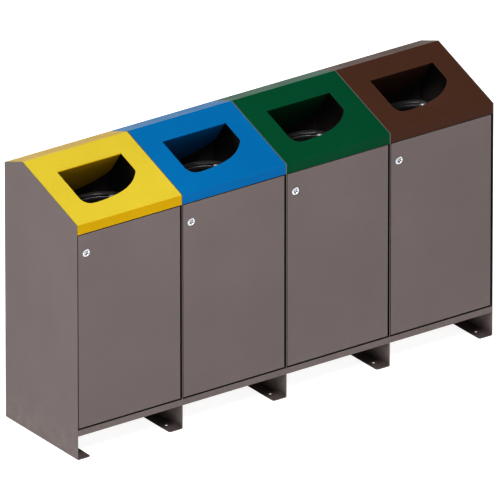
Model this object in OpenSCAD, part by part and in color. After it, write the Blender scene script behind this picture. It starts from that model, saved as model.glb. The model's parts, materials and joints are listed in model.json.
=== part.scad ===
/* [Station] */
// Number of bays side by side
bays = 4; // [1:1:4]
// Distance from one side panel to the next
pitch = 437; // [425:1:460]
// Depth of the side panels, front to back
depth = 430; // [425:1:450]
// Height of the roof ridge
ridge_h = 1000; // [990:1:1010]
// Distance of the ridge behind the front
ridge_y = 325; // [310:1:330]
// Height of the roof at the front edge
eaves_h = 882; // [880:1:890]
// Height of the roof at the back edge
rear_h = 962; // [955:1:965]

/* [Side panels] */
// Thickness of the side and divider panels
panel_t = 3; // [2:0.5:4]
// Width of the foot folded along the bottom of each panel
foot_w = 56; // [45:1:60]
// Radius of the foot's free corners
foot_corner_r = 10; // [5:1:12]
// Radius of the anchor holes in the feet
anchor_r = 5.5; // [4.5:0.5:6.5]
// Distance of the anchor holes from the panel's outer face
anchor_x = 32; // [28:1:34]
// Distance of the anchor holes from the front and back edges
anchor_inset = 53; // [45:1:70]

/* [Base tray] */
// Height of the tray's floor
tray_h = 114; // [105:1:120]
// Height of the tray's folded lips, the front one being the rail under the door
tray_lip = 25; // [22:1:28]
// Thickness of the tray sheet
tray_t = 2; // [1.5:0.5:3]
// Radius of the drain holes
drain_r = 5; // [3:1:6]
// Distance of the drain holes from the tray's edges
drain_inset = 70; // [60:1:90]

/* [Back panel] */
// Thickness of the back sheet
back_t = 2; // [1.5:0.5:3]
// Depth of the back sheet's side returns
back_return = 18; // [16:1:22]

/* [Lid] */
// Thickness of the lid sheet
lid_t = 2; // [1.5:0.5:2.5]
// Gap between the lid and each side panel
lid_gap = 0.5; // [0.4:0.1:1]
// Height of the lid's front lip
lip_h = 37; // [36:0.5:40]
// Height of the lid's rear lip
rear_lip = 30; // [25:1:35]
// Depth of the lid's side returns
lid_return = 16; // [14:1:16]

/* [Throw opening] */
// Distance of the opening from the bay's left wall
throw_x = 85; // [80:1:92]
// Width of the opening
throw_w = 266; // [255:1:270]
// Distance of the opening's straight top edge below the ridge, along the slope
throw_top = 84; // [80:1:90]
// Distance of the opening's lowest point below the ridge, along the slope
throw_bottom = 268; // [262:0.5:270]
// Radius of the long lower curve
throw_sweep_r = 450; // [440:5:460]
// Radius of the shoulder at the right
throw_shoulder_r = 190; // [185:1:195]
// Radius of the lower left corner
throw_left_r = 37; // [30:1:40]
// Radius of the lower right corner
throw_right_r = 22; // [18:1:24]
// Angle through which the cut-out flap is folded inwards
flap_angle = 105; // [95:1:115]

/* [Door] */
// Thickness of the door sheet
door_t = 1.5; // [1.2:0.1:2]
// Depth of the door's folded edges
door_return = 18; // [17:0.5:18]
// Gap at the lock side
door_gap_lock = 3; // [2.5:0.5:4]
// Gap at the pivot side
door_gap_pivot = 6; // [6:0.5:8]
// Gap below the door
door_gap_bottom = 3; // [3:0.5:4]
// Gap above the door
door_gap_top = 3.5; // [3:0.5:4]
// Outer radius of the door's folded edges
door_edge_r = 2.5; // [2.2:0.1:3]

/* [Pivots] */
// Radius of the pivot pins
pin_r = 4; // [3.5:0.5:4]
// Distance of the pivot axis from the door's right edge
pivot_x = 8; // [8:0.5:9]
// Distance of the pivot axis behind the door's face
pivot_y = 10; // [9.5:0.5:10]

/* [Lock] */
// Distance of the lock from the door's left edge
lock_x = 33; // [32:1:40]
// Distance of the lock below the door's top edge
lock_drop = 70; // [66:1:80]
// Radius of the lock's front flange
lock_r = 15; // [14:0.5:16]
// How far the lock stands proud of the door
lock_proud = 3; // [2.5:0.5:3.5]
// Reach of the cam from the lock's axis
cam_reach = 30; // [27:1:30]

/* [Bag frame] */
// Inner radius of the bag hoop
hoop_r = 129; // [120:1:130]
// Height of the hoop's upper edge
hoop_h = 838; // [834:1:838]
// Distance of the hoop's centre behind the front
hoop_y = 148; // [148:1:155]
// Height of the hoop's flat bar
hoop_bar = 14; // [12:1:15]
// Height of the lower grip hoop's flat bar
grip_bar = 18; // [14:1:20]

/* [Hidden] */
$fn = 64;
lid_colors = [[0.93, 0.78, 0.10], [0.0, 0.42, 0.72], [0.02, 0.32, 0.17], [0.28, 0.14, 0.10]];
frame_grey = [0.44, 0.41, 0.40];
steel_grey = [0.72, 0.73, 0.75];
chrome_grey = [0.86, 0.87, 0.89];
rubber_black = [0.08, 0.08, 0.08];
brass_yellow = [0.78, 0.66, 0.38];

total_w = bays*pitch + panel_t;
bay_w = pitch - panel_t;
// The front plane is set so that the lock heads and the back edge are equally far from the origin
front_y = (lock_proud - depth)/2;
bend_r = 2;
fold_steps = 5;
wall_lap = 10;
eps = 0.01;

slope = atan2(ridge_h - eaves_h, ridge_y);
rear_slope = atan2(ridge_h - rear_h, depth - ridge_y);
eaves_low = eaves_h - lip_h;

door_w = bay_w - door_gap_lock - door_gap_pivot;
door_low = tray_h + door_gap_bottom;
door_high = eaves_low - door_gap_top;
door_h = door_high - door_low;
pivot = [bay_w - door_gap_pivot - pivot_x, pivot_y];
lock_pos = [door_gap_lock + lock_x, 0, door_high - lock_drop];

// Fasteners: shank and head of the flange screws
screw_r = 2.5;
screw_hole_r = 2.75;
head_r = 4.5;
head_h = 3;
socket_r = 1.7;
tray_screw_y = [60, depth - 60];
tray_screw_h = tray_h - tray_lip/2 - 1;
back_screw_h = [190, 520, 850];
lid_screw_drop = 9;
lid_screw_run = [85, 250];
lid_screw_rear = 55;

// Throw opening: where the long curve's centre lies from its left side, and the angle at which the
// shoulder takes over
sweep_in = 45;
join_angle = 285;

// Flap: width of the cut round it, how far its root runs into the lid's sheet, and how far it is sunk in it
flap_kerf = 1;
flap_root = 1;
flap_sink = 0.05;

// Upper pivot bracket
bracket_t = 3;
bracket_low = eaves_low + 0.5;
bracket_rise = 17;
bracket_reach = 28;
bracket_y = [3, 48];
bracket_screw_y = [21, 39];
bracket_screw_rise = 10;

// Pins and bushes
pin_head_r = 6;
pin_head_h = 2.5;
pin_up = 13;
pin_down = 19;
collar_r = 6.5;
collar_h = 1.4;
bush_wall = 0.95;
bush_len = 9;
bush_flange_r = 6.5;
bush_flange_h = 1.2;
fit_gap = 0.05;

// Strike bracket and its buffer
strike_t = 3;
strike_y = 20.4;
strike_reach = 18;
strike_back = 60;
strike_half_h = 18;
strike_screw_y = 46;
strike_screw_dz = 10;
buffer_x = [1, 10];
buffer_half_h = 14;
buffer_gap = 0.3;

// Lock, with depths measured from the door's face
lock_body_r = 10;
lock_body_len = 26;
recess_r = 8.2;
recess_depth = 7;
core_disc_r = 7.8;
core_disc_t = 1.5;
core_shaft_r = 6;
key_r = 4.6;
key_front = 0.5;
tenon = 8;
tenon_gap = 0.05;
cam_t = 3;
cam_hub_r = 10;
cam_tip_r = 8;
cam_front = lock_body_len + 0.4;
nut_r = 15.6;
nut_t = 5;
cam_bolt_r = 2.5;
cam_bolt_len = 12;
cam_washer_r = 8;
cam_washer_t = 1.2;
cam_head_r = 4.6;
cam_head_h = 3.5;

// Bag frame
hoop_t = 3;
grip_r = 118;
tab_w = 14;
tab_t = 3;
plate_half_w = 75;
plate_low = 785;
plate_t = 3;
arm_x = 58;
arm_t = 3;
hoop_screw_x = 68;
hoop_screw_h = [798, 828];

// ---- Folded sheet: a strip of constant thickness along a polyline, with rounded folds ----

function unit(v) = v/norm(v);
function left_of(a, b) = let(d = unit(b - a)) [-d.y, d.x];
function turn(a, b, c) = let(u = b - a, v = c - b) sign(u.x*v.y - u.y*v.x);

// The polyline moved sideways by t, to its left
function parallel(pts, t) = [for (i = [0:len(pts) - 1])
    i == 0 ? pts[0] + t*left_of(pts[0], pts[1]) :
    i == len(pts) - 1 ? pts[i] + t*left_of(pts[i - 1], pts[i]) :
    let(m = left_of(pts[i - 1], pts[i]), n = left_of(pts[i], pts[i + 1]))
    pts[i] + t*(m + n)/(1 + m*n)];

function arc(c, r, a0, a1, steps) =
    [for (k = [0:steps]) let(a = a0 + (a1 - a0)*k/steps) c + r*[cos(a), sin(a)]];

// An arc of radius r that replaces the corner b
function corner(a, b, c, r) = let(
    u = unit(a - b),
    v = unit(c - b),
    half = acos(u*v)/2,
    centre = b + unit(u + v)*r/sin(half),
    p = b + u*r/tan(half) - centre,
    start = atan2(p.y, p.x),
    sweep = turn(a, b, c)*(180 - 2*half))
    arc(centre, r, start, start + sweep, fold_steps);

function rounded(pts, r_left, r_right) = [for (i = [0:len(pts) - 1])
    each i == 0 || i == len(pts) - 1 ? [pts[i]] :
    corner(pts[i - 1], pts[i], pts[i + 1], turn(pts[i - 1], pts[i], pts[i + 1]) > 0 ? r_left : r_right)];

function reversed(pts) = [for (i = [len(pts) - 1:-1:0]) pts[i]];

// Section of a sheet of thickness t that lies to the left of the path
module folded(pts, t, r = bend_r)
    polygon(concat(rounded(pts, r + t, r), reversed(rounded(parallel(pts, t), r, r + t))));

// Extrusions of a front-to-back section along X, and of a cross section along Y
module along_x(x, len) translate([x, 0, 0]) rotate([90, 0, 90]) linear_extrude(len) children();
module along_y(y, len) translate([0, y + len, 0]) rotate([90, 0, 0]) linear_extrude(len) children();

module in_bay(i) translate([i*pitch + panel_t - total_w/2, front_y, 0]) children();

// ---- Screws: the head sits at z = 0 and the shank runs down ----

module screw(shank) {
    difference() {
        rotate_extrude()
            polygon([[0, 0], [head_r, 0], [head_r, head_h*0.45], [head_r*0.7, head_h], [0, head_h]]);
        translate([0, 0, head_h/2]) cylinder(r = socket_r, h = head_h, $fn = 6);
    }
    translate([0, 0, -shank]) cylinder(r = screw_r, h = shank + eps);
}

// A screw on the left wall (side 0) or the right wall (side 1) of a bay, through a flange
module wall_screw(side, y, z, through)
    translate([side == 0 ? through : bay_w - through, y, z])
        rotate([0, side == 0 ? 90 : -90, 0]) screw(through);

module wall_holes(y, z)
    translate([-eps, y, z]) rotate([0, 90, 0]) cylinder(r = screw_hole_r, h = bay_w + 2*eps);

// ---- Frame ----

// The left panel's foot turns to the right, under the first bay, and every other one to the left
module side_panel(i) color(frame_grey)
    translate([i*pitch - total_w/2 + (i == 0 ? 0 : panel_t), front_y, 0]) mirror([i == 0 ? 0 : 1, 0, 0])
    difference() {
        fold_top = bend_r + panel_t + wall_lap;
        union() {
            along_x(0, panel_t) polygon(
                [[0, fold_top], [depth, fold_top], [depth, rear_h], [ridge_y, ridge_h], [0, eaves_h]]);
            along_y(0, depth) folded([[0, fold_top], [0, 0], [foot_w, 0]], panel_t);
        }
        for (y = [0, depth], in_y = y == 0 ? 1 : -1)
            translate([foot_w - foot_corner_r, y + in_y*foot_corner_r, -1]) difference() {
                translate([0, in_y > 0 ? -foot_corner_r - 1 : 0, 0])
                    cube([foot_corner_r + 1, foot_corner_r + 1, panel_t + 2]);
                translate([0, 0, -1]) cylinder(r = foot_corner_r, h = panel_t + 4);
            }
        for (y = [anchor_inset, depth - anchor_inset])
            translate([anchor_x, y, -1]) cylinder(r = anchor_r, h = panel_t + 2);
    }

module base_tray() color(frame_grey) difference() {
    low = tray_h - tray_lip;
    union() {
        along_x(0, bay_w) folded([[depth, low], [depth, tray_h], [0, tray_h], [0, low]], tray_t);
        for (x = [0, bay_w - tray_t])
            translate([x, tray_t + bend_r, low])
                cube([tray_t, depth - 2*(tray_t + bend_r), tray_lip - tray_t/2]);
    }
    for (y = tray_screw_y) wall_holes(y, tray_screw_h);
    for (x = [drain_inset, bay_w - drain_inset], y = [drain_inset, depth - drain_inset])
        translate([x, y, low]) cylinder(r = drain_r, h = tray_lip + 1);
}

module back_panel() color(frame_grey) difference() {
    low = tray_h + 0.5;
    high = rear_h - rear_lip - 1;
    translate([0, 0, low]) linear_extrude(high - low)
        folded([[bay_w, depth - back_return], [bay_w, depth], [0, depth], [0, depth - back_return]], back_t);
    for (z = back_screw_h) wall_holes(depth - back_return/2, z);
}

// ---- Lid ----

// Frame of the front slope: origin on the ridge, X across, Y up the slope, Z outwards
module on_slope() translate([0, ridge_y, ridge_h]) rotate([slope, 0, 0]) children();

// Outline of the throw opening, down the left side, along the lower curve and up the right side,
// drawn in by inset all the way round but at the top
function throw_outline(inset = 0) = let(
    left = throw_x + inset,
    right = throw_x + throw_w - inset,
    sweep_c = [throw_x + sweep_in, throw_sweep_r - throw_bottom],
    shoulder_c = sweep_c + (throw_sweep_r - throw_shoulder_r)*[cos(join_angle), sin(join_angle)],
    left_x = throw_x + throw_left_r,
    left_y = sweep_c.y - sqrt(pow(throw_sweep_r - throw_left_r, 2) - pow(left_x - sweep_c.x, 2)),
    left_end = 360 + atan2(left_y - sweep_c.y, left_x - sweep_c.x),
    right_x = throw_x + throw_w - throw_right_r,
    right_y = shoulder_c.y - sqrt(pow(throw_shoulder_r - throw_right_r, 2) - pow(right_x - shoulder_c.x, 2)),
    right_start = 360 + atan2(right_y - shoulder_c.y, right_x - shoulder_c.x))
    concat(
        [[left, -throw_top]],
        arc([left_x, left_y], throw_left_r - inset, 180, left_end, 8),
        arc(sweep_c, throw_sweep_r - inset, left_end, join_angle, 10),
        arc(shoulder_c, throw_shoulder_r - inset, join_angle, right_start, 12),
        arc([right_x, right_y], throw_right_r - inset, right_start, 360, 6),
        [[right, -throw_top]]);

// The piece cut from the opening, folded inwards along the opening's straight top edge. Its section is a
// folded strip that starts inside the lid's sheet, and the outline trims the strip in the flap's own plane.
module flap() {
    outer_r = bend_r + lid_t;
    fold_len = (bend_r + lid_t/2)*flap_angle*PI/180;
    fold = [-outer_r*tan(flap_angle/2), outer_r];
    tip = fold - throw_bottom*[cos(flap_angle), sin(flap_angle)];
    translate([0, -throw_top, -outer_r - flap_sink]) intersection() {
        along_x(throw_x, throw_w) folded([[flap_root, outer_r], fold, tip], lid_t);
        rotate([flap_angle, 0, 0]) translate([0, throw_top + fold_len, -2*outer_r])
            linear_extrude(4*outer_r) polygon(throw_outline(flap_kerf));
    }
}

module lid_screw_places() {
    for (run = lid_screw_run) on_slope() translate([0, -run, -lid_screw_drop]) children();
    translate([0, ridge_y, ridge_h]) rotate([-rear_slope, 0, 0])
        translate([0, lid_screw_rear, -lid_screw_drop]) children();
}

// The lid's section is a folded strip. Its returns are a band along each side that starts within the sheet.
module lid(i) color(lid_colors[i]) {
    roof = [[depth, rear_h], [ridge_y, ridge_h], [0, eaves_h]];
    band_in = bend_r + lid_t;
    band_rear = roof[0] + band_in*unit(roof[1] - roof[0]);
    band_front = roof[2] + band_in*unit(roof[1] - roof[2]);
    band_top = parallel([band_rear, roof[1], band_front], lid_t/2);
    difference() {
        union() {
            along_x(lid_gap, bay_w - 2*lid_gap)
                folded(concat([[depth, rear_h - rear_lip]], roof, [[0, eaves_low]]), lid_t);
            for (x = [lid_gap, bay_w - lid_gap - lid_t]) along_x(x, lid_t)
                polygon(concat(band_top, reversed(parallel(band_top, lid_return - lid_t/2))));
        }
        on_slope() translate([0, 0, -lid_t - 1]) linear_extrude(lid_t + 2) polygon(throw_outline());
        lid_screw_places() wall_holes(0, 0);
    }
    on_slope() flap();
}

// ---- Pivots, strikes and buffers ----

module pivot_bracket() color(steel_grey) difference() {
    inner = bay_w - bracket_reach;
    along_y(bracket_y[0], bracket_y[1] - bracket_y[0]) folded(
        [[inner, bracket_low], [bay_w, bracket_low], [bay_w, bracket_low + bracket_rise]], bracket_t);
    translate([pivot.x, pivot.y, bracket_low - 1]) cylinder(r = pin_r + fit_gap, h = bracket_t + 2);
    for (y = bracket_screw_y) translate([bay_w - bracket_t - 1, y, bracket_low + bracket_screw_rise])
        rotate([0, 90, 0]) cylinder(r = screw_hole_r, h = bracket_t + 2);
}

// The upper pin hangs from the bracket by its head, the lower one stands on the tray
module pivot_pins() color(steel_grey) translate([pivot.x, pivot.y, 0]) {
    top = bracket_low + bracket_t;
    translate([0, 0, top - pin_down - bracket_t]) cylinder(r = pin_r, h = pin_down + bracket_t + eps);
    translate([0, 0, top]) cylinder(r = pin_head_r, h = pin_head_h);
    translate([0, 0, tray_h]) cylinder(r = pin_r, h = pin_up);
    translate([0, 0, tray_h]) cylinder(r = collar_r, h = collar_h);
}

module strike_bracket() color(steel_grey) difference() {
    translate([0, 0, lock_pos.z - strike_half_h]) linear_extrude(2*strike_half_h)
        folded([[0, strike_back], [0, strike_y], [strike_reach, strike_y]], strike_t);
    for (dz = [-strike_screw_dz, strike_screw_dz])
        translate([-1, strike_screw_y, lock_pos.z + dz])
            rotate([0, 90, 0]) cylinder(r = screw_hole_r, h = strike_t + 2);
}

module door_buffer() color(rubber_black)
    translate([buffer_x[0], door_return + buffer_gap, lock_pos.z - buffer_half_h])
    cube([buffer_x[1] - buffer_x[0], strike_y - door_return - buffer_gap, 2*buffer_half_h]);

module frame_screws() color(steel_grey) for (side = [0, 1]) {
    for (y = tray_screw_y) wall_screw(side, y, tray_screw_h, tray_t);
    for (z = back_screw_h) wall_screw(side, depth - back_return/2, z, back_t);
}

module lid_screws() color(steel_grey) for (side = [0, 1])
    lid_screw_places() wall_screw(side, 0, 0, lid_gap + lid_t);

module bracket_screws() color(steel_grey) {
    for (y = bracket_screw_y) wall_screw(1, y, bracket_low + bracket_screw_rise, bracket_t);
    for (dz = [-strike_screw_dz, strike_screw_dz]) wall_screw(0, strike_screw_y, lock_pos.z + dz, strike_t);
}

// ---- Door ----

// A rectangle from the front edge backwards, with its two front corners rounded
module front_rounded(w, d, r) {
    translate([0, r]) square([w, d - r]);
    translate([r, 0]) square([w - 2*r, d]);
    for (x = [r, w - r]) translate([x, r]) circle(r);
}

// A block whose front face is rounded on all four edges
module pan_block(w, h, d, r) intersection() {
    linear_extrude(h) front_rounded(w, d, r);
    translate([0, 0, h]) rotate([0, 90, 0]) linear_extrude(w) front_rounded(h, d, r);
}

module door() color(frame_grey) difference() {
    translate([door_gap_lock, 0, door_low]) difference() {
        pan_block(door_w, door_h, door_return, door_edge_r);
        translate([door_t, door_t, door_t])
            pan_block(door_w - 2*door_t, door_h - 2*door_t, door_return, door_edge_r - door_t);
    }
    for (z = [door_low - 1, door_high - door_t - 1])
        translate([pivot.x, pivot.y, z]) cylinder(r = pin_r + bush_wall + 2*fit_gap, h = door_t + 2);
    translate([lock_pos.x, -1, lock_pos.z])
        rotate([-90, 0, 0]) cylinder(r = lock_body_r + fit_gap, h = door_t + 2);
}

// A flanged bush with its flange at z = 0 and its body above
module bush() difference() {
    union() {
        translate([0, 0, -bush_flange_h]) cylinder(r = bush_flange_r, h = bush_flange_h);
        translate([0, 0, -eps]) cylinder(r = pin_r + bush_wall + fit_gap, h = bush_len);
    }
    translate([0, 0, -bush_flange_h - 1]) cylinder(r = pin_r + fit_gap, h = bush_len + bush_flange_h + 2);
}

module pivot_bushes() color(brass_yellow) {
    translate([pivot.x, pivot.y, door_low]) bush();
    translate([pivot.x, pivot.y, door_high]) mirror([0, 0, 1]) bush();
}

// ---- Bag frame: a hoop and a grip hoop below it, on a plate fixed inside the door ----

module ring(r, h) difference() {
    cylinder(r = r + hoop_t, h = h, $fn = 96);
    translate([0, 0, -1]) cylinder(r = r, h = h + 2, $fn = 96);
}

module bag_frame() color(steel_grey) translate([bay_w/2, 0, 0]) {
    hoop_low = hoop_h - hoop_bar;
    arm_end = hoop_y - sqrt(pow(hoop_r + hoop_t/2, 2) - pow(arm_x, 2));
    plate_back = door_t + plate_t;
    translate([0, hoop_y, 0]) {
        translate([0, 0, hoop_low]) ring(hoop_r, hoop_bar);
        translate([0, 0, hoop_low - grip_bar]) ring(grip_r, grip_bar);
        for (a = [45:90:315]) rotate([0, 0, a])
            translate([grip_r + hoop_t/2, -tab_w/2, hoop_low + 0.5 - tab_t])
                cube([hoop_r - grip_r, tab_w, tab_t]);
    }
    difference() {
        translate([-plate_half_w, door_t, plate_low]) cube([2*plate_half_w, plate_t, hoop_h - plate_low]);
        for (x = [-hoop_screw_x, hoop_screw_x], z = hoop_screw_h)
            translate([x, 0, z]) rotate([-90, 0, 0]) cylinder(r = screw_hole_r, h = plate_back + 1);
    }
    root = plate_back - 1;
    for (x = [-arm_x, arm_x]) along_x(x - arm_t/2, arm_t)
        polygon([[root, plate_low + 5], [arm_end, hoop_low], [arm_end, hoop_h], [root, hoop_h]]);
}

module hoop_screws() color(steel_grey)
    for (x = [-hoop_screw_x, hoop_screw_x], z = hoop_screw_h)
        translate([bay_w/2 + x, door_t + plate_t, z]) rotate([-90, 0, 0]) screw(plate_t);

// ---- Lock: turned parts about an axis that runs back from the door's face ----

module on_lock() translate(lock_pos) rotate([-90, 0, 0]) children();

module lock_housing() color(chrome_grey) on_lock() rotate_extrude() polygon([
    [recess_r + 0.8, -lock_proud], [lock_r - 2.2, -lock_proud], [lock_r, -lock_proud*0.4], [lock_r, 0],
    [lock_body_r, 0], [lock_body_r, lock_body_len], [core_shaft_r + fit_gap, lock_body_len],
    [core_shaft_r + fit_gap, recess_depth], [recess_r, recess_depth], [recess_r, 0.8 - lock_proud]]);

module lock_nut() color(steel_grey) on_lock() translate([0, 0, door_t]) difference() {
    cylinder(r = nut_r, h = nut_t, $fn = 6);
    translate([0, 0, -1]) cylinder(r = lock_body_r + fit_gap, h = nut_t + 2);
}

module lock_core() color(steel_grey) on_lock() {
    disc = recess_depth - 0.3 - core_disc_t;
    translate([0, 0, -key_front]) rotate([0, 0, 90]) cylinder(r = key_r, h = disc + key_front + eps, $fn = 3);
    translate([0, 0, disc]) cylinder(r = core_disc_r, h = core_disc_t);
    difference() {
        union() {
            translate([0, 0, disc]) cylinder(r = core_shaft_r, h = cam_front - disc);
            translate([-tenon/2, -tenon/2, cam_front - eps]) cube([tenon, tenon, cam_t + eps]);
        }
        translate([0, 0, cam_front + cam_t - cam_bolt_len])
            cylinder(r = cam_bolt_r + fit_gap, h = cam_bolt_len + 1);
    }
}

// The cam hangs down when the door is unlocked
module lock_cam() color(steel_grey) on_lock() translate([0, 0, cam_front]) difference() {
    linear_extrude(cam_t) {
        circle(cam_hub_r);
        translate([-cam_tip_r, 0]) square([2*cam_tip_r, cam_reach - cam_tip_r]);
        translate([0, cam_reach - cam_tip_r]) circle(cam_tip_r);
    }
    hole = tenon + 2*tenon_gap;
    translate([-hole/2, -hole/2, -1]) cube([hole, hole, cam_t + 2]);
}

module cam_screw() color(steel_grey) on_lock() translate([0, 0, cam_front + cam_t]) {
    translate([0, 0, -cam_bolt_len + 1]) cylinder(r = cam_bolt_r, h = cam_bolt_len - 1 + eps);
    cylinder(r = cam_washer_r, h = cam_washer_t);
    translate([0, 0, cam_washer_t - eps]) cylinder(r = cam_head_r, h = cam_head_h, $fn = 6);
}

// ---- Assembly ----

for (i = [0:bays])
    side_panel(i);

for (i = [0:bays - 1]) in_bay(i) {
    base_tray();
    back_panel();
    lid(i);
    pivot_bracket();  // pivot_brackets
    pivot_pins();
    strike_bracket();  // strike_brackets
    door_buffer();  // door_buffers
    frame_screws();
    lid_screws();
    bracket_screws();
    door();
    pivot_bushes();
    bag_frame();
    hoop_screws();
    lock_housing();
    lock_nut();
    lock_core();
    lock_cam();
    cam_screw();
}
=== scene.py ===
"""Looks of the recycling bin station: materials, softened edges, finer hardware, light and camera."""

import json
import math

import bmesh
import bpy
from mathutils import Matrix, Vector


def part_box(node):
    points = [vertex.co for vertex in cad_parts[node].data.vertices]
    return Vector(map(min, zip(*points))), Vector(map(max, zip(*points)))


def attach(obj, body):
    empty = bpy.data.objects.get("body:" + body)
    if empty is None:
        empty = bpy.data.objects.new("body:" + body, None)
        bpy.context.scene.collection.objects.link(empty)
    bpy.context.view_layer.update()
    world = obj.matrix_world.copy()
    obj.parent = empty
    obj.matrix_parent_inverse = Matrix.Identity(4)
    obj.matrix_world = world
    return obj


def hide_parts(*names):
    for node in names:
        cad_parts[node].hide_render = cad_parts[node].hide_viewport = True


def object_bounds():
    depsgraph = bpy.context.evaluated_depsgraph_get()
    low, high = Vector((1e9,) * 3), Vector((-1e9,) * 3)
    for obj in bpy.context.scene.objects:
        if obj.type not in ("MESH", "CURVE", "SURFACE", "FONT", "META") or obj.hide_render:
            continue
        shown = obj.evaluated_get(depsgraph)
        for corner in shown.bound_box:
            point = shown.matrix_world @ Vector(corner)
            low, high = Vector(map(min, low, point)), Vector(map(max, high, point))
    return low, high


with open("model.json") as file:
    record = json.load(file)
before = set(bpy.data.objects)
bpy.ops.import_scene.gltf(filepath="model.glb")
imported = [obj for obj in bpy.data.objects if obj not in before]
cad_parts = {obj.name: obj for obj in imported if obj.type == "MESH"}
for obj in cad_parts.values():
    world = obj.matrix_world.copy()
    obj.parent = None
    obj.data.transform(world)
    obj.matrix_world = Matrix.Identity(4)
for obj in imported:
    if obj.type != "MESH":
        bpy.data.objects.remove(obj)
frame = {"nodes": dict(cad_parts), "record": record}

cad_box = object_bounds()

MM = 0.001
BAYS = range(1, 5)


def rgb(red, green, blue):
    """A screen colour, 0 to 255, as the linear colour that the shaders take."""
    def linear(c):
        c /= 255
        return c/12.92 if c <= 0.04045 else ((c + 0.055)/1.055)**2.4
    return (linear(red), linear(green), linear(blue), 1)


# ---- Shader helpers ----


class Shader:
    """A material's node tree, with one short call for each node."""

    def __init__(self, name):
        self.material = bpy.data.materials.new(name)
        self.material.use_nodes = True
        self.tree = self.material.node_tree
        self.surface = self.tree.nodes["Principled BSDF"]
        self.place = self.node("TexCoord").outputs["Object"]

    def node(self, kind, inputs=None, **settings):
        made = self.tree.nodes.new("ShaderNode" + kind)
        for key, value in settings.items():
            setattr(made, key, value)
        for key, value in (inputs or {}).items():
            self.put(made.inputs[key], value)
        return made

    def put(self, socket, value):
        if isinstance(value, bpy.types.NodeSocket):
            self.tree.links.new(value, socket)
        else:
            socket.default_value = value

    def set(self, **values):
        """Sets the surface's own sockets, such as Metallic or Base_Color."""
        for key, value in values.items():
            self.put(self.surface.inputs[key.replace("_", " ")], value)

    def stretched(self, x, y, z):
        return self.node("Mapping", {"Vector": self.place, "Scale": (x, y, z)}).outputs["Vector"]

    def noise(self, scale, detail=2, place=None, roughness=0.5):
        inputs = {"Vector": place or self.place, "Scale": scale, "Detail": detail, "Roughness": roughness}
        return self.node("TexNoise", inputs).outputs["Fac"]

    def ranged(self, value, low, high, to_low, to_high):
        inputs = {"Value": value, "From Min": low, "From Max": high, "To Min": to_low, "To Max": to_high}
        return self.node("MapRange", inputs).outputs["Result"]

    def maths(self, operation, a, b):
        made = self.node("Math", operation=operation)
        self.put(made.inputs[0], a)
        self.put(made.inputs[1], b)
        return made.outputs[0]

    def mix(self, share, a, b, blend="MIX"):
        made = self.node("Mix", data_type="RGBA", blend_type=blend)
        self.put(made.inputs["Factor"], share)
        self.put(made.inputs["A"], a)
        self.put(made.inputs["B"], b)
        return made.outputs["Result"]

    def bumps(self, *layers):
        """Layers of (height, depth in metres), one on top of the other."""
        normal = None
        for height, depth in layers:
            inputs = {"Height": height, "Distance": depth, "Strength": 1}
            if normal:
                inputs["Normal"] = normal
            normal = self.node("Bump", inputs).outputs["Normal"]
        self.set(Normal=normal)

    def height(self):
        return self.node("SeparateXYZ", {"Vector": self.place}).outputs["Z"]

    def edges(self, radius):
        """1 on an edge and 0 on a flat face, by how far the rounded normal turns from the true one."""
        rounded = self.node("Bevel", {"Radius": radius}, samples=6).outputs["Normal"]
        true = self.node("NewGeometry").outputs["Normal"]
        likeness = self.node("VectorMath", {0: rounded, 1: true}, operation="DOT_PRODUCT").outputs["Value"]
        return self.ranged(likeness, 1.0, 0.8, 0, 1)

    def facing(self, axis, low, high):
        """0 to 1 as the normal's part along an axis goes from low to high."""
        normal = self.node("NewGeometry").outputs["Normal"]
        return self.ranged(self.node("SeparateXYZ", {"Vector": normal}).outputs[axis], low, high, 0, 1)

    def nooks(self, reach):
        """1 deep in a fold of the same piece and 0 on an open face."""
        inputs = {"Distance": reach}
        openness = self.node("AmbientOcclusion", inputs, samples=8, only_local=True).outputs["AO"]
        return self.ranged(openness, 0.95, 0.55, 0, 1)


# ---- Materials ----

# Paler edge colour: partly worn paint, partly a painted highlight
EDGE_WEAR_AND_HIGHLIGHT = rgb(205, 200, 196)
DUST = rgb(140, 133, 125)
# Painted shade: the dark colour laid on the feet and in their folds, where shade falls
PAINTED_SHADE = rgb(66, 60, 57)
DUST_TOP = 0.16
FOOT_TOP = 4*MM
FOOT_CLEAR = 16*MM
FOLD_LOW = 0.03
FOLD_HIGH = 0.1
FOLD_REACH = 0.09


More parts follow.
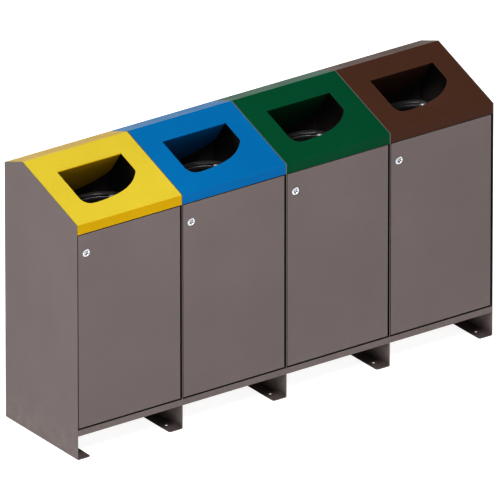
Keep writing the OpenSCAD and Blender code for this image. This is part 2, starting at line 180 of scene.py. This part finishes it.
def powder_coat(name, paint, gloss=0.42, lit_slope_paint=None, worn_and_lit=0.18):
    """Baked powder paint with orange peel and a fine grain. Its shade drifts a little, and it is paler
    along the edges, partly from wear and partly as a painted highlight. Dust lies on it near the ground,
    and painted shade darkens the feet and their folds. A paler colour on the front slope is painted light."""
    m = Shader(name)
    drift = m.ranged(m.noise(3.5, 3), 0.3, 0.7, -0.04, 0.04)
    mottle = m.ranged(m.noise(160, 3), 0.3, 0.7, -0.03, 0.03)
    shade = m.maths("ADD", m.maths("ADD", drift, mottle), 1)
    grey = m.node("CombineColor", {"Red": shade, "Green": shade, "Blue": shade}).outputs["Color"]
    # Painted light: faces of the front slope that look up take a paler colour for the brighter light on
    # them
    sunlit = m.maths("MULTIPLY", m.facing("Z", 0.1, 0.95), m.facing("Y", 0.05, -0.05))
    base = m.mix(sunlit, paint, lit_slope_paint) if lit_slope_paint else paint
    colour = m.mix(1.0, base, grey, "MULTIPLY")
    # Paler edges: partly wear, partly a painted highlight along them
    edge = m.maths("MULTIPLY", m.edges(1.2*MM), m.ranged(m.noise(90, 4), 0.35, 0.6, 0.4, 1))
    colour = m.mix(m.maths("MULTIPLY", edge, worn_and_lit), colour, EDGE_WEAR_AND_HIGHLIGHT)
    low_down = m.ranged(m.height(), 0, DUST_TOP, 0.35, 0)
    dust = m.maths("MULTIPLY", low_down, m.ranged(m.noise(28, 5, roughness=0.65), 0.42, 0.75, 0, 1))
    colour = m.mix(dust, colour, DUST)
    # Painted shade: up-facing faces of the feet and deep folds near the ground turn dark, as under the tray
    foot = m.ranged(m.height(), FOOT_TOP, FOOT_CLEAR, 0.45, 0)
    foot_shade = m.maths("MULTIPLY", foot, m.facing("Z", 0.1, 0.95))
    fold = m.ranged(m.height(), FOLD_LOW, FOLD_HIGH, 0.7, 0)
    fold_shade = m.maths("MULTIPLY", fold, m.nooks(FOLD_REACH))
    m.set(Base_Color=m.mix(m.maths("MAXIMUM", foot_shade, fold_shade), colour, PAINTED_SHADE))
    rough = m.ranged(m.noise(9, 4), 0.3, 0.7, gloss - 0.05, gloss + 0.05)
    m.set(Roughness=m.maths("ADD", rough, m.maths("MULTIPLY", dust, 0.4)), Specular_IOR_Level=0.08)
    m.bumps((m.noise(420, 2), 0.06*MM), (m.noise(1700, 1), 0.02*MM))
    return m.material


def plated_steel(name, tint, gloss=0.32, spread=0.07):
    """Zinc plate: bright metal with soft crystal patches, and bright on the edges."""
    m = Shader(name)
    patches = m.node("TexVoronoi", {"Vector": m.place, "Scale": 420}).outputs["Color"]
    plate = m.mix(0.1, tint, patches, "OVERLAY")
    bright = m.maths("MULTIPLY", m.edges(0.4*MM), 0.5)
    m.set(Metallic=1.0, Base_Color=m.mix(bright, plate, rgb(235, 236, 238)))
    m.set(Roughness=m.ranged(m.noise(260, 3), 0.3, 0.7, gloss - spread, gloss + spread))
    m.bumps((m.noise(900, 2), 0.02*MM))
    return m.material


def brushed_steel(name, tint):
    """Rolled flat bar: fine lines round the hoop, with dull patches."""
    m = Shader(name)
    lines = m.noise(1, 3, m.stretched(25, 25, 2600))
    dull = m.ranged(m.noise(18, 4), 0.4, 0.75, 0, 0.35)
    m.set(Metallic=1.0, Base_Color=m.mix(dull, tint, rgb(120, 114, 108)))
    m.set(Roughness=m.ranged(lines, 0.3, 0.7, 0.24, 0.42))
    m.bumps((lines, 0.02*MM))
    return m.material


def chrome(name):
    """Bright chrome with hair scratches."""
    m = Shader(name)
    scratches = m.noise(1, 4, m.stretched(300, 3500, 300))
    haze = m.ranged(m.noise(700, 2), 0.4, 0.7, 0, 0.15)
    m.set(Metallic=1.0, Base_Color=m.mix(haze, rgb(206, 207, 209), rgb(160, 160, 162)))
    m.set(Roughness=m.ranged(scratches, 0.35, 0.7, 0.05, 0.16))
    m.bumps((m.noise(350, 1), 0.01*MM))
    return m.material


def brass(name):
    """Sintered bronze: grainy, with darker pores."""
    m = Shader(name)
    pores = m.ranged(m.noise(1600, 3), 0.45, 0.6, 0, 1)
    m.set(Metallic=1.0, Base_Color=m.mix(pores, rgb(150, 118, 68), rgb(205, 172, 108)))
    m.set(Roughness=m.ranged(pores, 0, 1, 0.5, 0.3))
    m.bumps((pores, 0.02*MM))
    return m.material


def rubber(name):
    """Matt black rubber with a faint grey bloom."""
    m = Shader(name)
    bloom = m.ranged(m.noise(60, 4), 0.45, 0.75, 0, 0.2)
    m.set(Base_Color=m.mix(bloom, rgb(14, 14, 14), rgb(40, 40, 40)), Specular_IOR_Level=0.2)
    m.set(Roughness=m.ranged(bloom, 0, 0.2, 0.7, 0.9))
    m.bumps((m.noise(1300, 2), 0.04*MM))
    return m.material


def floor_finish(name):
    """Pale studio floor, which shines a little by itself so that the shadow on it stays faint."""
    m = Shader(name)
    patches = m.ranged(m.noise(6, 5), 0.3, 0.7, 0, 1)
    m.set(Base_Color=m.mix(patches, (0.48, 0.48, 0.48, 1), (0.52, 0.52, 0.52, 1)))
    m.set(Emission_Color=(1, 1, 1, 1), Emission_Strength=0.6)
    m.set(Roughness=m.ranged(m.noise(40, 3), 0.3, 0.7, 0.6, 0.75))
    return m.material


FINISHES = {
    "frame_paint": powder_coat("frame_paint", rgb(105, 97, 96)),
    # Each lid's second colour is painted light, laid on its up-facing front slope
    "lid_yellow": powder_coat("lid_yellow", rgb(167, 136, 2), lit_slope_paint=rgb(187, 168, 58)),
    "lid_blue": powder_coat("lid_blue", rgb(0, 95, 143), lit_slope_paint=rgb(0, 103, 151)),
    "lid_green": powder_coat("lid_green", rgb(0, 70, 44), lit_slope_paint=rgb(0, 77, 50)),
    "lid_brown": powder_coat("lid_brown", rgb(70, 46, 36), lit_slope_paint=rgb(78, 52, 40)),
    "zinc_steel": plated_steel("zinc_steel", rgb(205, 208, 212)),
    "hoop_steel": brushed_steel("hoop_steel", rgb(200, 200, 202)),
    "lock_chrome": chrome("lock_chrome"),
    "bush_brass": brass("bush_brass"),
    "buffer_rubber": rubber("buffer_rubber"),
}


# ---- CAD nodes: materials and softened edges ----

SLOTS = {part["node"]: part["material_slot"] for part in frame["record"]["subparts"]}

# Radius of the rounded edges, by the start of the node's name
EDGE_WIDTHS = {"side_panel": 0.5*MM, "base_tray": 0.4*MM, "back_panel": 0.4*MM, "lid": 0.5*MM,
               "door": 0.3*MM, "lock_nut": 0.4*MM, "lock_cam": 0.4*MM, "lock_core": 0.2*MM,
               "pivot_brackets": 0.4*MM, "strike_brackets": 0.4*MM, "bag_frame": 0.3*MM}

MERGE_GAP = 0.002*MM


def soften(obj, width):
    """Rounds a node's edges in the shown mesh, by modifiers alone."""
    weld = obj.modifiers.new("weld", "WELD")
    weld.merge_threshold = MERGE_GAP
    merge = obj.modifiers.new("merge_flat_faces", "DECIMATE")
    merge.decimate_type = "DISSOLVE"
    merge.angle_limit = math.radians(0.5)
    bevel = obj.modifiers.new("edge", "BEVEL")
    bevel.width = width
    bevel.segments = 2
    bevel.limit_method = "ANGLE"
    bevel.angle_limit = math.radians(40)
    bevel.use_clamp_overlap = True


def dress_nodes():
    for name, obj in frame["nodes"].items():
        obj.data.materials.clear()
        obj.data.materials.append(FINISHES[SLOTS[name]])
        kind = name.rstrip("0123456789").rstrip("_")
        if kind in EDGE_WIDTHS:
            soften(obj, EDGE_WIDTHS[kind])


# ---- Mesh helpers ----


def piece(name, bm, slot, body, *stands_for):
    """A finished piece from mesh data in the row frame, which may stand for CAD nodes."""
    bmesh.ops.recalc_face_normals(bm, faces=bm.faces)
    mesh = bpy.data.meshes.new(name)
    bm.to_mesh(mesh)
    bm.free()
    mesh.shade_smooth()
    mesh.set_sharp_from_angle(angle=math.radians(32))
    mesh.materials.append(FINISHES[slot])
    obj = bpy.data.objects.new(name, mesh)
    bpy.context.scene.collection.objects.link(obj)
    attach(obj, body)
    if stands_for:
        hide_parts(*stands_for)
    return obj


def loft(bm, rings):
    """A closed shell over rings of equally many points, capped at both ends."""
    loops = [[bm.verts.new(point) for point in ring] for ring in rings]
    for near, far in zip(loops, loops[1:]):
        for k in range(len(near)):
            bm.faces.new((near[k - 1], near[k], far[k], far[k - 1]))
    bm.faces.new(loops[0])
    bm.faces.new(loops[-1])


def facing(origin, direction):
    """The place whose Z axis points along a direction."""
    return Matrix.Translation(origin) @ Vector(direction).to_track_quat("Z", "Y").to_matrix().to_4x4()


def turned(bm, place, profile, sides=24):
    """A lathe shape from (radius, height) in millimetres. A third entry makes that ring a hexagon."""
    def reach(angle, hexagonal):
        flat = math.pi/6
        return math.cos(flat)/math.cos(angle % (2*flat) - flat) if hexagonal else 1

    rings = []
    for radius, height, *hexagonal in profile:
        angles = [2*math.pi*k/sides for k in range(sides)]
        radii = [radius*reach(a, hexagonal) for a in angles]
        ring = [Vector((r*math.cos(a), r*math.sin(a), height))*MM for r, a in zip(radii, angles)]
        rings.append([place @ point for point in ring])
    loft(bm, rings)


def solids(node):
    """Middle and size of each separate solid in a CAD node."""
    bm = bmesh.new()
    bm.from_mesh(frame["nodes"][node].data)
    bmesh.ops.remove_doubles(bm, verts=bm.verts, dist=0.001*MM)
    unseen = set(bm.verts)
    found = []
    while unseen:
        front = [unseen.pop()]
        island = list(front)
        while front:
            near = {edge.other_vert(v) for v in front for edge in v.link_edges} & unseen
            unseen -= near
            front = list(near)
            island += front
        low = Vector([min(v.co[axis] for v in island) for axis in range(3)])
        high = Vector([max(v.co[axis] for v in island) for axis in range(3)])
        found.append(((low + high)/2, high - low))
    bm.free()
    return sorted(found, key=lambda pair: tuple(round(c, 5) for c in pair[0]))


# ---- Flange screws ----

HEAD_H = 3.0
SCREW_HEAD = [(4.1, 0), (4.5, 0.25), (4.5, 0.7), (3.9, 1.0), (3.65, 1.3), (3.55, 2.1), (3.2, 2.65),
              (2.5, HEAD_H), (2.05, HEAD_H), (1.85, 2.8, "hex"), (1.85, 1.3, "hex"), (0.6, 1.0)]


def screw(bm, middle, size, direction):
    """A hex-socket button screw with a flange. Its shank is the length that the CAD solid has below
    the head."""
    length = min(size)/MM
    shank = length - HEAD_H
    place = facing(middle - Vector(direction)*(length/2 - shank)*MM, direction)
    turned(bm, place, [(2.1, -shank), (2.5, 0.4 - shank), (2.5, 0)] + SCREW_HEAD)


def wall_screws(node):
    """Screws whose heads point to the middle of their bay."""
    centres = [(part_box(f"door_{n}")[0].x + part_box(f"door_{n}")[1].x)/2 for n in BAYS]
    bm = bmesh.new()
    for middle, size in solids(node):
        centre = min(centres, key=lambda x: abs(x - middle.x))
        screw(bm, middle, size, (math.copysign(1, centre - middle.x), 0, 0))
    piece(f"{node}_fine", bm, "zinc_steel", "root", node)


def hoop_screws(n):
    bm = bmesh.new()
    for middle, size in solids(f"hoop_screws_{n}"):
        screw(bm, middle, size, (0, 1, 0))
    piece(f"hoop_screws_{n}_fine", bm, "zinc_steel", f"door_body_{n}", f"hoop_screws_{n}")


# ---- Rubber: door buffers, the seal round each door (also painted shade in the door gaps) and the sealant in each tray ----


def extruded(bm, section, start, end):
    """A prism from a section's points at start to the same points at end."""
    loft(bm, [[start + p for p in section], [end + p for p in section]])


def door_buffers():
    """Each buffer has rounded edges and three ribs towards the door."""
    rib, groove, base = 0.0, 0.55*MM, 1.0*MM
    bm = bmesh.new()
    for middle, size in solids("door_buffers"):
        low, high = middle - size/2, middle + size/2
        front = []
        pitch = size.x/3
        for k in range(3):
            x = low.x + k*pitch
            front += [(x + 0.1*pitch, groove), (x + 0.3*pitch, rib)]
            front += [(x + 0.7*pitch, rib), (x + 0.9*pitch, groove)]
        section = [Vector((x, low.y + y, 0)) for x, y in front]
        section += [Vector((high.x, low.y + base, 0)), Vector((high.x, high.y, 0))]
        section += [Vector((low.x, high.y, 0)), Vector((low.x, low.y + base, 0))]
        extruded(bm, section, Vector((0, 0, low.z)), Vector((0, 0, high.z)))
    piece("door_buffers_ribbed", bm, "buffer_rubber", "root", "door_buffers")


SEAL_FRONT = 0.3*MM
SEAL_TRIM = 3.0*MM
SEAL_DEPTH = 13*MM
SEAL_GAP = 0.5*MM
SEAL_THIN = 1.0*MM
SEAL_SUNK = 2.0*MM
LIP_GAP = 3.5*MM


def lipped(reach, depth):
    """A seal's section as (outwards, backwards): a base with a rounded lip at its front."""
    lip = [(reach*0.9, 0), (reach, 0.1*depth), (reach, 0.3*depth), (reach*0.55, 0.45*depth)]
    return [(0, 0)] + lip + [(reach*0.5, 0.9*depth), (reach*0.3, depth), (0, depth)]


def seal_and_gap_shade(n):
    """Black rubber on the four edges that the shut door meets: both panels, the lid's lip and the tray. It
    is partly a seal and partly painted shade, filling the door gaps so that they read near-black.
    """
    door_low, door_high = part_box(f"door_{n}")
    tray_low, tray_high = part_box(f"base_tray_{n}")
    y = tray_low.y + SEAL_FRONT
    left, right = tray_low.x, tray_high.x
    bm = bmesh.new()
    low, high = Vector((0, 0, door_low.z)), Vector((0, 0, door_high.z))
    # The bulbs and trims nearly close the gaps round the door: painted shade that keeps the gaps near-black
    wide = lipped(door_low.x - left - SEAL_GAP, SEAL_DEPTH)
    extruded(bm, [Vector((left + out, y + back, 0)) for out, back in wide], low, high)
    thin = lipped(SEAL_THIN, SEAL_DEPTH)
    extruded(bm, [Vector((right - out, y + back, 0)) for out, back in thin], low, high)
    low, high = Vector((left, 0, 0)), Vector((right, 0, 0))
    lip = door_high.z + LIP_GAP
    trim = lipped(LIP_GAP - SEAL_GAP, SEAL_TRIM)
    extruded(bm, [Vector((0, y + back, lip - out)) for out, back in trim], low, high)
    base = tray_high.z - SEAL_SUNK
    sill = lipped(door_low.z - base - SEAL_GAP, SEAL_TRIM)
    extruded(bm, [Vector((0, y + back, base + out)) for out, back in sill], low, high)
    piece(f"seal_and_gap_shade_{n}", bm, "buffer_rubber", "root")


SHEET = 2.0*MM

# The sealant's section as (backwards, upwards) in millimetres from the inside corner: its hollow face, then
# the tongue that fills the seam
SEALANT_FACE = [(-5.0, -0.2), (-3.4, 0.5), (-2.0, 1.6), (-0.9, 3.2), (0.1, 5.4)]
SEALANT_TONGUE = [(0.1, 0.4), (1.3, 0.4), (1.3, -1.6), (-1.8, -1.0)]


def tray_sealant(n):
    """A bead of sealant that closes the seam between the tray's rear fold and the back panel."""
    low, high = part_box(f"base_tray_{n}")
    corner = Vector((0, high.y - SHEET, high.z))
    section = [corner + Vector((0, back, up))*MM for back, up in SEALANT_FACE + SEALANT_TONGUE]
    bm = bmesh.new()
    extruded(bm, section, Vector((low.x + SHEET/2, 0, 0)), Vector((high.x - SHEET/2, 0, 0)))
    piece(f"tray_sealant_{n}", bm, "buffer_rubber", "root")


# ---- Weld beads on the bag frames ----

HOOP_BAR = 14*MM
GRIP_R = 121*MM
ARM_X = 59.5*MM
PLATE_FACE = 3*MM
ARM_FOOT = 5*MM
BEAD_R = 1.3*MM
FINE_BEAD_R = 0.9*MM
BEAD_END = 1*MM
RIPPLE = 1.5*MM
TAB_HALF = 6*MM
TAB_RISE = 0.5*MM


def bead(bm, start, end, radius=BEAD_R):
    """A weld bead: a rippled tube with round ends."""
    along = end - start
    steps = max(8, round(along.length/(0.35*MM)))
    place = facing(start, along.normalized())
    rings = []
    for k in range(steps + 1):
        run = along.length*k/steps
        taper = min(1, math.sqrt(max(0.02, min(run, along.length - run)/radius)))
        r = radius*taper*(0.86 + 0.14*abs(math.sin(math.pi*run/RIPPLE)))
        angles = [2*math.pi*a/12 for a in range(12)]
        rings.append([place @ Vector((r*math.cos(a), r*math.sin(a), run)) for a in angles])
    loft(bm, rings)


def weld_beads(n):
    """Beads where the arms meet the plate and the hoop, and where the tabs meet the grip hoop."""
    low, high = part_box(f"bag_frame_{n}")
    middle = (low.x + high.x)/2
    outer_r = (high.x - low.x)/2
    hoop_y = high.y - outer_r
    bm = bmesh.new()
    for side in (-1, 1):
        x = middle + side*ARM_X
        plate_y = low.y + PLATE_FACE
        foot = Vector((x, plate_y, low.z + ARM_FOOT + BEAD_END))
        bead(bm, foot, Vector((x, plate_y, high.z - BEAD_END)))
        arm_end = hoop_y - math.sqrt(outer_r**2 - ARM_X**2)
        bar = Vector((x, arm_end, high.z - HOOP_BAR + BEAD_END))
        bead(bm, bar, Vector((x, arm_end, high.z - BEAD_END)))
    for quarter in range(4):
        turn = Matrix.Rotation(math.pi/4 + quarter*math.pi/2, 4, "Z")
        tab_top = high.z - HOOP_BAR + TAB_RISE
        centre = Vector((middle, hoop_y, tab_top))
        ends = [centre + turn @ Vector((GRIP_R, side*TAB_HALF, 0)) for side in (-1, 1)]
        bead(bm, *ends, radius=FINE_BEAD_R)
    piece(f"bag_frame_{n}_welds", bm, "hoop_steel", f"door_body_{n}")


# ---- Floor, light and camera ----

FLOOR_SIZE = 60

# Name, place, size in metres, power in watts and the point that it lights
LAMPS = [("key", (-1.5, -3.5, 6), 3.0, 312, (0, 0, 0.5)),
         ("side", (-7, -1, 2), 3.0, 158, (0, 0, 0.5)),
         ("rear", (1.5, 6, 3.5), 3.0, 120, (0, 0, 0.9))]

# The studio's brightness, and the heights of the view direction between which it fades
HORIZON, OVERHEAD = 0.67, 0.15
FADE_START, FADE_END = 0.25, 0.8

VIEW_AZIMUTH = -35.36
VIEW_ELEVATION = 24.74
VIEW_DISTANCE = 71.583
VIEW_TARGET = (-0.0017, 0, 0.4788)
LENS = 1500

def stage():
    low = cad_box[0]
    ground = (0, 0, low.z)
    bpy.ops.mesh.primitive_grid_add(x_subdivisions=8, y_subdivisions=8, size=FLOOR_SIZE, location=ground)
    floor = bpy.context.object
    floor.name = "floor"
    floor.data.materials.append(floor_finish("floor_finish"))


def lamp(name, place, size, power, aim):
    light = bpy.data.lights.new(name, "AREA")
    light.shape = "DISK"
    light.size = size
    light.energy = power
    obj = bpy.data.objects.new(name, light)
    obj.location = place
    obj.rotation_euler = (Vector(aim) - Vector(place)).to_track_quat("-Z", "Y").to_euler()
    bpy.context.scene.collection.objects.link(obj)


def surroundings():
    """A white studio that is bright round the horizon and dim overhead."""
    world = bpy.data.worlds.new("studio")
    world.use_nodes = True
    tree = world.node_tree
    direction = tree.nodes.new("ShaderNodeTexCoord").outputs["Generated"]
    split = tree.nodes.new("ShaderNodeSeparateXYZ")
    fade = tree.nodes.new("ShaderNodeMapRange")
    fade.interpolation_type = "SMOOTHSTEP"
    fade.inputs["From Min"].default_value = FADE_START
    fade.inputs["From Max"].default_value = FADE_END
    fade.inputs["To Min"].default_value = HORIZON
    fade.inputs["To Max"].default_value = OVERHEAD
    tree.links.new(direction, split.inputs["Vector"])
    tree.links.new(split.outputs["Z"], fade.inputs["Value"])
    tree.links.new(fade.outputs["Result"], tree.nodes["Background"].inputs["Strength"])
    tree.nodes["Background"].inputs["Color"].default_value = (1, 1, 1, 1)
    bpy.context.scene.world = world


def lights():
    surroundings()
    for settings in LAMPS:
        lamp(*settings)


def camera():
    """A long lens far away, which gives the near-parallel view of a product picture."""
    azimuth, elevation = math.radians(VIEW_AZIMUTH), math.radians(VIEW_ELEVATION)
    level = math.cos(elevation)
    back = Vector((math.sin(azimuth)*level, -math.cos(azimuth)*level, math.sin(elevation)))
    data = bpy.data.cameras.new("camera")
    data.lens = LENS
    data.sensor_width = 36
    data.clip_start = 1
    data.clip_end = 200
    obj = bpy.data.objects.new("camera", data)
    obj.location = Vector(VIEW_TARGET) + VIEW_DISTANCE*back
    obj.rotation_mode = "QUATERNION"
    obj.rotation_quaternion = (-back).to_track_quat("-Z", "Y")
    bpy.context.scene.collection.objects.link(obj)
    bpy.context.scene.camera = obj


dress_nodes()
for node in ("frame_screws", "lid_screws", "bracket_screws"):
    wall_screws(node)
door_buffers()
for bay in BAYS:
    hoop_screws(bay)
    seal_and_gap_shade(bay)
    tray_sealant(bay)
    weld_beads(bay)

stage()
lights()
camera()
bpy.context.scene.view_settings.view_transform = "Standard"
bpy.context.scene.view_settings.look = "High Contrast"
